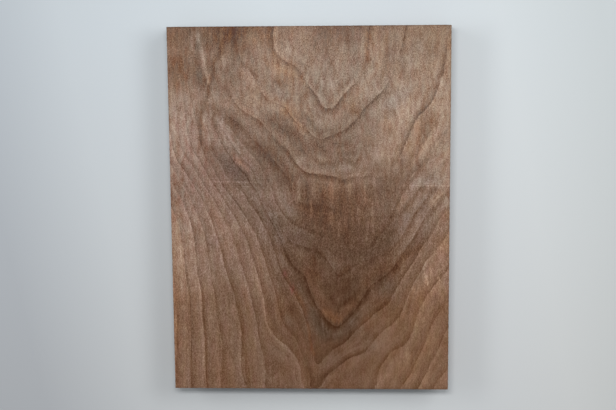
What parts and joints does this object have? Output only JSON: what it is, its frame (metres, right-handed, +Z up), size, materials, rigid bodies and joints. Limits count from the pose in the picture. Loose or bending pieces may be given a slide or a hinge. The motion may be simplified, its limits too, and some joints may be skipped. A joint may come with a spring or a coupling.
{
  "type": "wood turning blank",
  "caption": "Rectangular walnut blank with planed faces, sawn ends and sides, and lightly eased edges, ready to be mounted on a lathe.",
  "frame": {"origin": "middle of the lower planed face, which the blank lies on", "axes": "+Z up through the thickness, +Y along the grain and the longest side, +X across the grain"},
  "size_m": [0.304, 0.4, 0.05],
  "materials": {
    "walnut": "planed, unfinished"
  },
  "bodies": {
    "root": {"blank": "walnut"}
  },
  "joints": []
}
